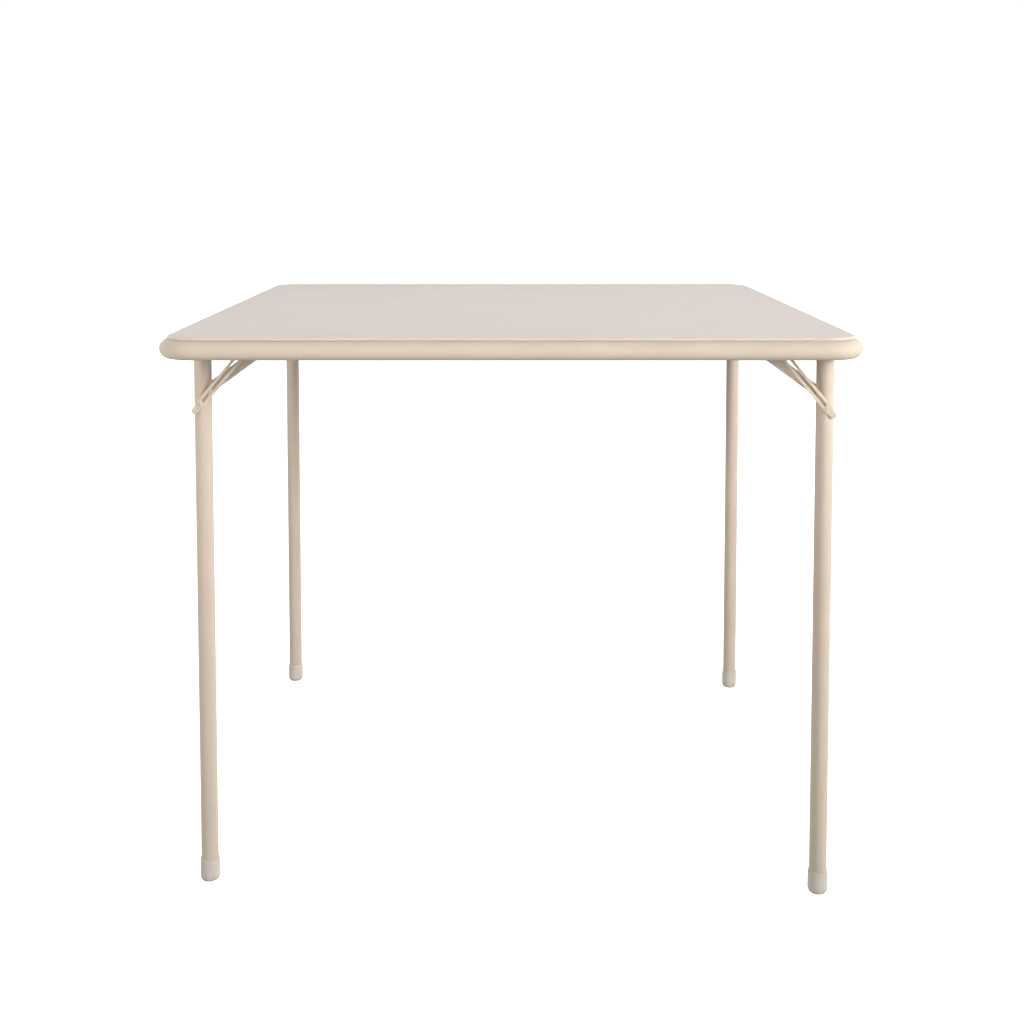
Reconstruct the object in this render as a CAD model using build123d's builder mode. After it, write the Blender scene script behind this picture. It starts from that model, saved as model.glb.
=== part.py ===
from build123d import *
import os
from collections import namedtuple
from math import asin, atan2, cos, degrees, radians, sin, sqrt

# A square folding card table. A bent round-tube frame carries a padded panel, and four tube legs
# fold up under it. The model stands on its feet, centred on the origin, +Z up, in millimetres.

# Table
table_width = 864.0
table_depth = 864.0
table_height = 717.0

# Frame rail, one round tube bent into a ring
rail_diameter = 24.0
rail_wall = 1.2
rail_corner_radius = 47.0
rail_joint_gap = 0.3
rail_joint_offset = 110.0
sleeve_length = 70.0
sleeve_wall = 1.2
sleeve_clearance = 0.05

# Panel: a board with a thin lip that lies on the rail, and its covering
vinyl_thickness = 1.0
vinyl_edge_radius = 3.0
vinyl_lower_radius = 0.7
lip_thickness = 3.0
board_body_thickness = 3.0
board_clearance = 0.5
panel_inset = 9.5
panel_corner_radius = 37.5

# Tabs that are welded to the rail and screwed to the board
tab_width = 24.0
tab_reach = 20.0
tab_thickness = 1.5
tab_spacing = 220.0
tab_end_radius = 5.0
screw_diameter = 3.5
screw_bite = 4.0
screw_head_diameter = 6.4
screw_head_top_diameter = 4.0
screw_head_height = 1.1
screw_hole_clearance = 0.1

# Legs and feet
leg_diameter = 22.2
leg_wall = 1.2
leg_inset = 41.0
leg_row_setback = 64.0
leg_stagger = 32.0
leg_fold_gap = 0.9
foot_diameter = 25.3
foot_height = 29.0
foot_collar_diameter = 24.8
foot_collar_height = 4.5
foot_base = 4.0
foot_contact_radius = 9.0
foot_round_height = 6.5
foot_fit = 0.05
foot_edge_radius = 0.8

# Hinge bracket at the head of each leg
hinge_pin_diameter = 6.0
hinge_head_diameter = 10.5
hinge_head_height = 1.6
hinge_wall = 1.5
hinge_side_gap = 0.4
hinge_boss_radius = 8.5
hinge_upper_hold = 8.0
hinge_lower_hold = 9.0

# Braces, flat straps on the two sides of each leg
strap_thickness = 1.2
strap_side_gap = 0.4
fold_angle = 90.0
lock_rivet_drop = 71.8
lock_width = 11.0
lock_open_angle = 50.0
lock_slot_width = 3.4
lock_slot_margin = 5.8
lock_slot_upper_margin = 8.5
lock_square_end = 4.2
lock_corner_radius = 1.0
finger_tab_length = 32.0
finger_tab_width = 10.0
finger_tab_reach = 17.0
finger_tab_thickness = 1.2
finger_tab_end_radius = 4.2
stay_rivet_drop = 60.4
stay_width = 13.4
stay_open_angle = 36.1
strap_end_gap = 1.1

# Rivets that the straps turn on, and pins at their upper ends
head_rim_share = 0.4
head_top_share = 0.6
rivet_diameter = 5.0
rivet_head_diameter = 8.4
rivet_head_height = 1.1
rivet_tail_diameter = 7.0
rivet_tail_height = 2.5
rivet_tail_gap = 0.1
guide_pin_diameter = 5.0
pin_shoulder_diameter = 8.0
pin_head_diameter = 9.0
pin_head_height = 1.2
running_clearance = 0.05
face_clearance = 0.3

# Guide bracket, an inverted channel with a cam slot in each ear
guide_web_thickness = 1.2
guide_wall = 1.2
guide_bend_radius = 2.0
guide_rivet_gap = 0.3
guide_land = 2.4
guide_end_margin = 10.5
guide_end_slope = 12.0
guide_end_rise = 9.0
guide_corner_radius = 3.0
guide_screw_offset = 8.0
guide_screw_end = 9.0
cam_clearance = 0.3
cam_stations = 12
lock_pocket_radius = 3.5
cut_overrun = 5.0

# Places that follow from the sizes above
rail_radius = rail_diameter / 2
leg_radius = leg_diameter / 2
rail_top = table_height - vinyl_thickness - lip_thickness
rail_axis_height = rail_top - rail_radius
rail_bottom = rail_top - rail_diameter
rail_x = table_width / 2 - rail_radius
rail_y = table_depth / 2 - rail_radius
rail_bend_radius = rail_corner_radius - rail_radius
board_underside = rail_top - board_body_thickness
rail_half_at_board = sqrt(rail_radius**2 - (rail_radius - board_body_thickness) ** 2)
board_body_inset = rail_radius + rail_half_at_board + board_clearance
tab_top_half = sqrt(rail_radius**2 - (rail_radius - board_body_thickness - tab_thickness / 2) ** 2)
tab_root = rail_radius + tab_top_half
pivot_height = board_underside - guide_web_thickness - leg_fold_gap - leg_radius
plate_inner = leg_radius + strap_side_gap
hinge_ear_inner = leg_radius + hinge_side_gap
hinge_ear_outer = hinge_ear_inner + hinge_wall
lock_inner = plate_inner + finger_tab_thickness
rivet_top = lock_inner + strap_thickness + running_clearance + rivet_head_height
guide_ear_inner = rivet_top + guide_rivet_gap
guide_ear_outer = guide_ear_inner + guide_wall
cam_radius = guide_pin_diameter / 2 + cam_clearance
screw_hole_diameter = screw_diameter + 2 * screw_hole_clearance

Corner = namedtuple("Corner", "name x y inward lock_side")
Strap = namedtuple("Strap", "drop length width open_angle folded_angle side inner")


def make_strap(drop, width, open_angle, side, inner):
    """A strap's facts: its pin comes as near to the guide's web open as it does folded."""
    pin_rise = leg_radius + leg_fold_gap - width / 2 - strap_end_gap
    length = (drop + pin_rise) / sin(radians(open_angle))
    folded_angle = degrees(asin(pin_rise / length))
    return Strap(drop, length, width, open_angle, folded_angle, side, inner)


lock = make_strap(lock_rivet_drop, lock_width, lock_open_angle, 1, lock_inner)
stay = make_strap(stay_rivet_drop, stay_width, stay_open_angle, -1, plate_inner)

near_row = table_depth / 2 - leg_row_setback
far_row = near_row - leg_stagger
leg_x = table_width / 2 - leg_inset
corners = [
    Corner("front_right", leg_x, -near_row, -1, -1),
    Corner("front_left", -leg_x, -far_row, 1, -1),
    Corner("back_left", -leg_x, near_row, 1, 1),
    Corner("back_right", leg_x, far_row, -1, 1),
]


def finish(piece, name):
    """Label a finished piece and write it."""
    piece.part.label = name
    export_step(piece.part, f"parts/{name}.step")


def side_plane(corner):
    """The upright plane of a leg's fold: x runs inward and y up, from the leg's pivot."""
    return Plane(
        origin=(corner.x, corner.y, pivot_height),
        x_dir=(corner.inward, 0, 0),
        z_dir=(0, -corner.inward, 0),
    )


def outward(corner, side):
    """+1 or -1: whether a side of the leg lies along the side plane's normal."""
    return -corner.inward * corner.lock_side * side


def pin_plane(corner, side, point):
    """A plane through a pin's axis: x is the radius and y runs out from the leg's middle."""
    y_way = corner.lock_side * side
    return Plane(
        origin=(corner.x + corner.inward * point[0], corner.y, pivot_height + point[1]),
        x_dir=(corner.inward, 0, 0),
        z_dir=(0, 0, corner.inward * y_way),
    )


def rivet_point(strap, fold):
    """Where a strap's rivet in the leg lies, from the pivot, at a fold angle."""
    return (strap.drop * sin(radians(fold)), -strap.drop * cos(radians(fold)))


def strap_angle(strap, fold):
    """A strap's slope at a fold angle: it turns at a constant share of the leg's turn."""
    return strap.open_angle + (strap.folded_angle - strap.open_angle) * fold / fold_angle


def pin_point(strap, fold):
    """Where a strap's upper pin lies, from the pivot, at a fold angle."""
    rivet = rivet_point(strap, fold)
    slope = radians(strap_angle(strap, fold))
    return (rivet[0] + strap.length * cos(slope), rivet[1] + strap.length * sin(slope))


def cam_edge(strap, way):
    """Points along one edge of a strap's cam slot, a pin radius to one side of the pin's path."""
    points = []
    for station in range(cam_stations + 1):
        fold = fold_angle * station / cam_stations
        here = pin_point(strap, fold)
        ahead = pin_point(strap, fold + 1)
        behind = pin_point(strap, fold - 1)
        heading = atan2(ahead[1] - behind[1], ahead[0] - behind[0])
        points.append(
            (
                here[0] - way * cam_radius * sin(heading),
                here[1] + way * cam_radius * cos(heading),
            )
        )
    return points


def rail_path():
    """The rail's centre line, from one side of the joint behind the table round to the other."""
    with BuildLine(Plane.XY.offset(rail_axis_height)) as path:
        FilletPolyline(
            (rail_joint_offset - rail_joint_gap / 2, rail_y),
            (-rail_x, rail_y),
            (-rail_x, -rail_y),
            (rail_x, -rail_y),
            (rail_x, rail_y),
            (rail_joint_offset + rail_joint_gap / 2, rail_y),
            radius=rail_bend_radius,
        )
    return path.line


def make_frame_rail():
    """The bent tube, open at its joint, with no other hole in it."""
    path = rail_path()
    with BuildPart() as frame_rail:
        with BuildSketch(Plane(origin=path @ 0, z_dir=path % 0)):
            Circle(rail_radius)
            Circle(rail_radius - rail_wall, mode=Mode.SUBTRACT)
        sweep(path=path)
    finish(frame_rail, "frame_rail")


def rail_outer():
    """The space that the rail fills, which the pieces welded to it are coped to."""
    path = rail_path()
    with BuildPart() as rail_space:
        with BuildSketch(Plane(origin=path @ 0, z_dir=path % 0)):
            Circle(rail_radius)
        sweep(path=path)
    return rail_space.part


def make_frame_joint_sleeve():
    """The inner sleeve that the tube's two ends are pressed over."""
    sleeve_radius = rail_radius - rail_wall - sleeve_clearance
    sleeve_plane = Plane(
        origin=(rail_joint_offset, rail_y, rail_axis_height), x_dir=(0, 1, 0), z_dir=(1, 0, 0)
    )
    with BuildPart() as frame_joint_sleeve:
        with BuildSketch(sleeve_plane):
            Circle(sleeve_radius)
            Circle(sleeve_radius - sleeve_wall, mode=Mode.SUBTRACT)
        extrude(amount=sleeve_length / 2, both=True)
    finish(frame_joint_sleeve, "frame_joint_sleeve")


def tab_places():
    """Each tab's place on the rail's middle line and its turn, three to a side."""
    places = []
    for step in (-1, 0, 1):
        places.append((step * tab_spacing, -rail_y, 0))
        places.append((step * tab_spacing, rail_y, 180))
        places.append((rail_x, step * tab_spacing, 90))
        places.append((-rail_x, step * tab_spacing, -90))
    return places


def tab_screw_places():
    """Where the tabs' screws stand, in plan."""
    reach = tab_root + tab_reach / 2
    return [
        (x - reach * sin(radians(turn)), y + reach * cos(radians(turn)))
        for x, y, turn in tab_places()
    ]


def cam_lowest():
    """The lowest that either strap's pin comes, from the pivot's height."""
    folds = [fold_angle * station / cam_stations for station in range(cam_stations + 1)]
    return min(pin_point(strap, fold)[1] for strap in (lock, stay) for fold in folds)


def guide_span():
    """Where a guide bracket starts and ends, inward from the leg's axis."""
    start = pin_point(lock, 0)[0] - guide_end_margin
    end = pin_point(lock, fold_angle)[0] + guide_end_margin
    return start, end


def guide_screw_places(corner):
    """Where a guide bracket's four screws stand, in plan."""
    start, end = guide_span()
    inward_places = (start + guide_screw_end, end - guide_screw_end)
    return [
        (corner.x + corner.inward * reach, corner.y + side * guide_screw_offset)
        for reach in inward_places
        for side in (-1, 1)
    ]


def make_top_board():
    """A rabbeted board: the lip lies on the rail and the body drops inside the ring."""
    lip_space = board_lip()
    body_width = table_width - 2 * board_body_inset
    body_depth = table_depth - 2 * board_body_inset
    body_corner = rail_corner_radius - board_body_inset
    screw_places = tab_screw_places()
    for corner in corners:
        screw_places += guide_screw_places(corner)
    with BuildPart() as top_board:
        add(lip_space)
        with BuildSketch(Plane.XY.offset(board_underside)):
            RectangleRounded(body_width, body_depth, body_corner)
        extrude(amount=board_body_thickness)
        with BuildSketch(Plane.XY.offset(board_underside)):
            with Locations(*screw_places):
                Circle(screw_diameter / 2 + running_clearance)
        extrude(amount=screw_bite + running_clearance, mode=Mode.SUBTRACT)
    finish(top_board, "top_board")


def board_lip():
    """The space of the board's lip, rounded at its upper edge as the covering is inside."""
    lip_width = table_width - 2 * (panel_inset + vinyl_thickness)
    lip_depth = table_depth - 2 * (panel_inset + vinyl_thickness)
    with BuildPart() as lip_space:
        with BuildSketch(Plane.XY.offset(rail_top)):
            RectangleRounded(lip_width, lip_depth, panel_corner_radius - vinyl_thickness)
        extrude(amount=lip_thickness)
        top_edges = lip_space.faces().sort_by(Axis.Z)[-1].edges()
        fillet(top_edges, vinyl_edge_radius - vinyl_thickness)
    return lip_space.part


def make_vinyl_cover():
    """The covering: a thin sheet over the board's face and round its rounded edge."""
    outer_width = table_width - 2 * panel_inset
    outer_depth = table_depth - 2 * panel_inset
    lip_space = board_lip()
    with BuildPart() as vinyl_cover:
        with BuildSketch(Plane.XY.offset(rail_top)):
            RectangleRounded(outer_width, outer_depth, panel_corner_radius)
        extrude(amount=lip_thickness + vinyl_thickness)
        top_edges = vinyl_cover.faces().sort_by(Axis.Z)[-1].edges()
        fillet(top_edges, vinyl_edge_radius)
        lower_edges = vinyl_cover.faces().sort_by(Axis.Z)[0].edges()
        fillet(lower_edges, vinyl_lower_radius)
        add(lip_space, mode=Mode.SUBTRACT)
    finish(vinyl_cover, "vinyl_cover")


def make_panel_tabs(rail_space):
    """Small steel tabs, coped to the rail at one end and drilled at the other."""
    tab_middle = rail_radius + tab_reach / 2
    with BuildPart() as panel_tabs:
        for x, y, turn in tab_places():
            along = (cos(radians(turn)), sin(radians(turn)), 0)
            flat = Plane(
                origin=(x, y, board_underside - tab_thickness), x_dir=along, z_dir=(0, 0, 1)
            )
            with BuildSketch(flat):
                with Locations((0, tab_root + tab_reach - tab_middle)):
                    Rectangle(tab_width, 2 * tab_middle - tab_root)
                fillet(vertices().group_by(Axis.Y)[-1], tab_end_radius)
                with Locations((0, tab_root + tab_reach / 2)):
                    Circle(screw_hole_diameter / 2, mode=Mode.SUBTRACT)
            extrude(amount=tab_thickness)
        add(rail_space, mode=Mode.SUBTRACT)
    finish(panel_tabs, "panel_tabs")


def screw_solid(seat_height):
    """One low-headed screw that points up, its head's seat at a height, on the Z axis."""
    head_drop = seat_height - screw_head_height
    shank_top = board_underside + screw_bite
    with BuildPart() as screw:
        with BuildSketch(Plane.XZ):
            with BuildLine():
                Polyline(
                    (0, head_drop),
                    (0, shank_top),
                    (screw_diameter / 2, shank_top - screw_diameter / 2),
                    (screw_diameter / 2, seat_height),
                    (screw_head_diameter / 2, seat_height),
                    (screw_head_top_diameter / 2, head_drop),
                    close=True,
                )
            make_face()
        revolve(axis=Axis.Z)
    return screw.part


def make_panel_screws():
    """The screws that hold the board down on the tabs."""
    one_screw = screw_solid(board_underside - tab_thickness)
    with BuildPart() as panel_screws:
        with Locations(*tab_screw_places()):
            add(one_screw)
    finish(panel_screws, "panel_screws")


def make_hinge_bracket(corner, rail_space):
    """A clevis whose two ears hold the leg's pivot and are coped round the side rail."""
    pivot = side_plane(corner)
    rail_away = leg_inset - rail_radius
    rail_rise = rail_axis_height - pivot_height
    web_out = rail_away - rail_radius
    upper_hold = rail_rise + hinge_upper_hold
    lower_hold = rail_rise - hinge_lower_hold
    upper_reach = rail_away - sqrt(rail_radius**2 - hinge_upper_hold**2)
    lower_reach = rail_away - sqrt(rail_radius**2 - hinge_lower_hold**2)
    with BuildPart() as hinge_bracket:
        with BuildSketch(pivot):
            Circle(hinge_boss_radius)
            with BuildLine():
                Polyline(
                    (0, hinge_boss_radius),
                    (-upper_reach - hinge_wall, upper_hold),
                    (-lower_reach - hinge_wall, lower_hold),
                    (0, -hinge_boss_radius),
                    close=True,
                )
            make_face()
        extrude(amount=hinge_ear_outer, both=True)
        with BuildSketch(pivot):
            with Locations((-web_out + hinge_wall, rail_rise)):
                Rectangle(
                    web_out + hinge_boss_radius + cut_overrun,
                    rail_diameter + cut_overrun,
                    align=(Align.MIN, Align.CENTER),
                )
            with Locations((-web_out, rail_rise)):
                Rectangle(
                    web_out,
                    rail_diameter + cut_overrun,
                    align=(Align.MAX, Align.CENTER),
                )
        extrude(amount=hinge_ear_inner, both=True, mode=Mode.SUBTRACT)
        add(rail_space, mode=Mode.SUBTRACT)
        with BuildSketch(pivot):
            Circle(hinge_pin_diameter / 2 + running_clearance)
        extrude(amount=hinge_ear_outer, both=True, mode=Mode.SUBTRACT)
    finish(hinge_bracket, f"hinge_bracket_{corner.name}")


def headed_profile(shank_radius, shank_start, head_radius, head_start, head_height):
    """The outline of half a pin: a shank out to a head with a wide chamfer."""
    head_top = head_start + head_height
    Polyline(
        (0, head_top),
        (0, shank_start),
        (shank_radius, shank_start),
        (shank_radius, head_start),
        (head_radius, head_start),
        (head_radius, head_start + head_height * head_rim_share),
        (head_radius * head_top_share, head_top),
        close=True,
    )


def make_hinge_pin(corner):
    """The leg's pivot: a rod through both ears and the tube, with a head at each end."""
    head_start = hinge_ear_outer + running_clearance
    with BuildPart() as hinge_pin:
        for side in (1, -1):
            half_plane = pin_plane(corner, side, (0, 0))
            with BuildSketch(half_plane):
                with BuildLine():
                    headed_profile(
                        hinge_pin_diameter / 2,
                        0,
                        hinge_head_diameter / 2,
                        head_start,
                        hinge_head_height,
                    )
                make_face()
            revolve(axis=Axis(half_plane.origin, half_plane.y_dir))
    finish(hinge_pin, f"hinge_pin_{corner.name}")


def make_leg_tube(corner):
    """A straight tube, rounded at its head, drilled for the pivot and for the two rivets."""
    pivot = side_plane(corner)
    head_height = pivot_height + leg_radius
    with BuildPart() as leg_tube:
        with BuildSketch(Plane(origin=(corner.x, corner.y, foot_base))):
            Circle(leg_radius)
        extrude(amount=head_height - foot_base)
        with BuildSketch(pivot):
            Rectangle(leg_diameter + cut_overrun, leg_radius + cut_overrun, align=(Align.CENTER, Align.MIN))
            Circle(leg_radius, mode=Mode.SUBTRACT)
        extrude(amount=leg_diameter, both=True, mode=Mode.SUBTRACT)
        with BuildSketch(Plane(origin=(corner.x, corner.y, foot_base))):
            Circle(leg_radius - leg_wall)
        extrude(amount=head_height, mode=Mode.SUBTRACT)
        with BuildSketch(pivot):
            Circle(hinge_pin_diameter / 2 + running_clearance)
        extrude(amount=leg_diameter, both=True, mode=Mode.SUBTRACT)
        for strap in (lock, stay):
            with BuildSketch(pivot):
                with Locations(rivet_point(strap, 0)):
                    Circle(rivet_diameter / 2 + running_clearance)
            extrude(amount=outward(corner, strap.side) * leg_diameter, mode=Mode.SUBTRACT)
    finish(leg_tube, f"leg_tube_{corner.name}")


def make_foot_cap(corner):
    """A moulded cap over the leg's end, with a collar at its mouth and a rounded foot."""
    foot_radius = foot_diameter / 2
    collar_radius = foot_collar_diameter / 2
    bore_radius = leg_radius + foot_fit
    collar_foot = foot_height - foot_collar_height
    axis_plane = Plane(origin=(corner.x, corner.y, 0), x_dir=(1, 0, 0), z_dir=(0, -1, 0))
    with BuildPart() as foot_cap:
        with BuildSketch(axis_plane):
            with BuildLine():
                Polyline((0, foot_base), (0, 0), (foot_contact_radius, 0))
                TangentArc(
                    (foot_radius, foot_round_height),
                    (foot_contact_radius, 0),
                    tangent=(0, -1),
                )
                Polyline(
                    (foot_radius, foot_round_height),
                    (foot_radius, collar_foot - foot_edge_radius),
                    (collar_radius, collar_foot),
                    (collar_radius, foot_height - foot_edge_radius),
                    (collar_radius - foot_edge_radius / 2, foot_height),
                    (bore_radius, foot_height),
                    (bore_radius, foot_base),
                    (0, foot_base),
                )
            make_face()
        revolve(axis=Axis((corner.x, corner.y, 0), (0, 0, 1)))
    finish(foot_cap, f"foot_cap_{corner.name}")


def strap_plane(corner, strap, inner):
    """A strap's inner face, that far from the leg's middle, with x along it from its rivet."""
    rivet = rivet_point(strap, 0)
    slope = radians(strap.open_angle)
    reach = outward(corner, strap.side) * inner
    base = side_plane(corner).offset(reach)
    return Plane(
        origin=base.from_local_coords((rivet[0], rivet[1], 0)),
        x_dir=(corner.inward * cos(slope), 0, sin(slope)),
        z_dir=base.z_dir,
    )


def make_lock_brace(corner):
    """The slotted strap, square at its lower end and round at its upper one."""
    slot_start = lock_slot_margin
    slot_end = lock.length - lock_slot_upper_margin
    with BuildPart() as lock_brace:
        with BuildSketch(strap_plane(corner, lock, lock_inner)):
            with Locations((-lock_square_end, 0)):
                Rectangle(
                    lock.length + lock_square_end, lock_width, align=(Align.MIN, Align.CENTER)
                )
            fillet(vertices().group_by(Axis.X)[0], lock_corner_radius)
            with Locations((lock.length, 0)):
                Circle(lock_width / 2)
            with Locations(((slot_start + slot_end) / 2, 0)):
                SlotOverall(slot_end - slot_start, lock_slot_width, mode=Mode.SUBTRACT)
            Circle(rivet_diameter / 2 + running_clearance, mode=Mode.SUBTRACT)
            with Locations((lock.length, 0)):
                Circle(guide_pin_diameter / 2, mode=Mode.SUBTRACT)
        extrude(amount=outward(corner, lock.side) * strap_thickness)
    finish(lock_brace, f"lock_brace_{corner.name}")


def make_finger_tab(corner):
    """The plate welded behind the slotted strap, whose rounded end stands out past the leg."""
    half_width = finger_tab_width / 2
    tip = finger_tab_reach - finger_tab_end_radius
    with BuildPart() as finger_tab:
        with BuildSketch(strap_plane(corner, lock, plate_inner)):
            with BuildLine():
                Polyline(
                    (finger_tab_length - finger_tab_reach, half_width),
                    (0, half_width),
                    (-tip, finger_tab_end_radius),
                    (-tip, -finger_tab_end_radius),
                    (0, -half_width),
                    (finger_tab_length - finger_tab_reach, -half_width),
                    close=True,
                )
            make_face()
            with Locations((-tip, 0)):
                Circle(finger_tab_end_radius)
            Circle(rivet_diameter / 2 + running_clearance, mode=Mode.SUBTRACT)
        extrude(amount=outward(corner, lock.side) * finger_tab_thickness)
    finish(finger_tab, f"finger_tab_{corner.name}")


def make_stay_link(corner):
    """The plain strap on the leg's other side."""
    with BuildPart() as stay_link:
        with BuildSketch(strap_plane(corner, stay, stay.inner)):
            with Locations((stay.length / 2, 0)):
                SlotCenterToCenter(stay.length, stay_width)
            Circle(rivet_diameter / 2 + running_clearance, mode=Mode.SUBTRACT)
            with Locations((stay.length, 0)):
                Circle(guide_pin_diameter / 2, mode=Mode.SUBTRACT)
        extrude(amount=outward(corner, stay.side) * strap_thickness)
    finish(stay_link, f"stay_link_{corner.name}")


def make_strap_rivet(corner, strap, name):
    """A blind rivet in the leg's near wall that a strap turns on."""
    half_plane = pin_plane(corner, strap.side, rivet_point(strap, 0))
    tail_radius = rivet_tail_diameter / 2
    inner_wall = sqrt((leg_radius - leg_wall) ** 2 - tail_radius**2)
    tail_top = inner_wall - rivet_tail_gap
    with BuildPart() as strap_rivet:
        with BuildSketch(half_plane):
            with BuildLine():
                headed_profile(
                    rivet_diameter / 2,
                    tail_top - rivet_tail_height,
                    rivet_head_diameter / 2,
                    strap.inner + strap_thickness + running_clearance,
                    rivet_head_height,
                )
            make_face()
            with BuildLine():
                Polyline(
                    (0, tail_top - rivet_tail_height),
                    (rivet_diameter / 2, tail_top - rivet_tail_height),
                    (tail_radius, tail_top - rivet_tail_height / 2),
                    (tail_radius, tail_top),
                    (0, tail_top),
                    close=True,
                )
            make_face()
        revolve(axis=Axis(half_plane.origin, half_plane.y_dir))
    finish(strap_rivet, f"{name}_{corner.name}")


def make_strap_pin(corner, strap, name):
    """A shouldered pin, riveted in a strap's upper end, that runs in its cam slot."""
    half_plane = pin_plane(corner, strap.side, pin_point(strap, 0))
    shoulder_start = strap.inner + strap_thickness
    shoulder_end = guide_ear_inner - face_clearance
    head_start = guide_ear_outer + face_clearance
    with BuildPart() as strap_pin:
        with BuildSketch(half_plane):
            with BuildLine():
                headed_profile(
                    guide_pin_diameter / 2,
                    strap.inner,
                    pin_head_diameter / 2,
                    head_start,
                    pin_head_height,
                )
            make_face()
            with Locations((0, shoulder_start)):
                Rectangle(
                    pin_shoulder_diameter / 2,
                    shoulder_end - shoulder_start,
                    align=(Align.MIN, Align.MIN),
                )
        revolve(axis=Axis(half_plane.origin, half_plane.y_dir))
    finish(strap_pin, f"{name}_{corner.name}")


def cam_outline(strap):
    """A cam slot's outline: its two edges and the round ends that the pin comes to."""
    upper = cam_edge(strap, 1)
    lower = cam_edge(strap, -1)
    near = pin_point(strap, 0)
    far = pin_point(strap, fold_angle)
    near_heading = atan2(upper[0][1] - lower[0][1], upper[0][0] - lower[0][0]) + radians(90)
    far_heading = atan2(upper[-1][1] - lower[-1][1], upper[-1][0] - lower[-1][0]) - radians(90)
    near_end = (
        near[0] + cam_radius * cos(near_heading),
        near[1] + cam_radius * sin(near_heading),
    )
    far_end = (
        far[0] + cam_radius * cos(far_heading),
        far[1] + cam_radius * sin(far_heading),
    )
    Spline(*upper)
    Spline(*lower)
    ThreePointArc(lower[0], near_end, upper[0])
    ThreePointArc(lower[-1], far_end, upper[-1])


def make_guide_bracket(corner):
    """An inverted channel under the board: each ear has the cam slot of one strap's pin."""
    start, end = guide_span()
    web_top = board_underside - pivot_height
    web_bottom = web_top - guide_web_thickness
    ear_bottom = cam_lowest() - cam_radius - guide_land
    side = side_plane(corner)
    with BuildPart() as guide_bracket:
        with BuildSketch(side):
            with BuildLine():
                Polyline(
                    (start, web_top),
                    (start, ear_bottom + guide_end_rise),
                    (start + guide_end_slope, ear_bottom),
                    (end - guide_end_slope, ear_bottom),
                    (end, ear_bottom + guide_end_rise),
                    (end, web_top),
                    close=True,
                )
            make_face()
            fillet(vertices().filter_by_position(Axis.Y, ear_bottom - cut_overrun, 0), guide_corner_radius)
        extrude(amount=guide_ear_outer, both=True)
        bends = guide_bracket.edges().filter_by(Axis.X).group_by(Axis.Z)[-1]
        fillet(bends, guide_bend_radius)
        with BuildSketch(side):
            with Locations(((start + end) / 2, web_bottom)):
                Rectangle(
                    end - start + cut_overrun,
                    web_bottom - ear_bottom + cut_overrun,
                    align=(Align.CENTER, Align.MAX),
                )
        extrude(amount=guide_ear_inner, both=True, mode=Mode.SUBTRACT)
        for strap in (lock, stay):
            with BuildSketch(side):
                with BuildLine():
                    cam_outline(strap)
                make_face()
                if strap is lock:
                    with Locations(pin_point(strap, 0)):
                        Circle(lock_pocket_radius)
            extrude(
                amount=outward(corner, strap.side) * (guide_ear_outer + cut_overrun),
                mode=Mode.SUBTRACT,
            )
        with BuildSketch(Plane.XY.offset(board_underside - guide_web_thickness)):
            with Locations(*guide_screw_places(corner)):
                Circle(screw_hole_diameter / 2)
        extrude(amount=guide_web_thickness, mode=Mode.SUBTRACT)
    finish(guide_bracket, f"guide_bracket_{corner.name}")


def make_guide_screws(corner):
    """The four screws that hold a guide bracket to the board."""
    one_screw = screw_solid(board_underside - guide_web_thickness)
    with BuildPart() as guide_screws:
        with Locations(*guide_screw_places(corner)):
            add(one_screw)
    finish(guide_screws, f"guide_screws_{corner.name}")


os.makedirs("parts", exist_ok=True)
make_frame_rail()
rail_space = rail_outer()
make_frame_joint_sleeve()
make_top_board()
make_vinyl_cover()
make_panel_tabs(rail_space)
make_panel_screws()
for corner in corners:
    make_hinge_bracket(corner, rail_space)
    make_hinge_pin(corner)
    make_leg_tube(corner)
    make_foot_cap(corner)
    make_lock_brace(corner)
    make_finger_tab(corner)
    make_strap_rivet(corner, lock, "lock_brace_rivet")
    make_strap_pin(corner, lock, "lock_brace_pin")
    make_stay_link(corner)
    make_strap_rivet(corner, stay, "stay_link_rivet")
    make_strap_pin(corner, stay, "stay_link_pin")
    make_guide_bracket(corner)
    make_guide_screws(corner)
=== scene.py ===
import random
from math import cos, pi, radians, sin, sqrt

import bmesh
import bpy
from mathutils import Matrix, Vector


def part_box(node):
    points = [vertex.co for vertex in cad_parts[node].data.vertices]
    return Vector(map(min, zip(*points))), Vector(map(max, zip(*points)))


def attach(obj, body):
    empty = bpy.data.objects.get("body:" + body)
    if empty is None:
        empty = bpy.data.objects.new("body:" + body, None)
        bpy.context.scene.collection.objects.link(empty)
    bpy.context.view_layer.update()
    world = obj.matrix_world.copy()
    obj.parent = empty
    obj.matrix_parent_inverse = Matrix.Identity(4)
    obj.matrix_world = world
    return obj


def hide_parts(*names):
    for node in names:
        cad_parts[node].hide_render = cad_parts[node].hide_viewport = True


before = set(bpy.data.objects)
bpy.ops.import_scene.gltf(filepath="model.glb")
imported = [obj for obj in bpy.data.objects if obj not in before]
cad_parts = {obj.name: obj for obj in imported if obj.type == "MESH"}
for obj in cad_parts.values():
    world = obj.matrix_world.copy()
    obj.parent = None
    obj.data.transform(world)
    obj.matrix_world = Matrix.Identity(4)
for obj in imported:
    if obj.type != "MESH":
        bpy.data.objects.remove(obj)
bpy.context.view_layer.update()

# The table's sizes in metres, the same as in the solids
TABLE_WIDTH = 0.864
PANEL_WIDTH = 0.845
PANEL_CORNER = 0.0375
PANEL_EDGE = 0.003
VINYL = 0.001
VINYL_LOWER = 0.0007
RAIL_TOP = 0.713
RAIL_RADIUS = 0.012
RAIL_AXIS = RAIL_TOP - RAIL_RADIUS
RAIL_X = TABLE_WIDTH / 2 - RAIL_RADIUS
BOARD_UNDERSIDE = 0.710
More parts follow.
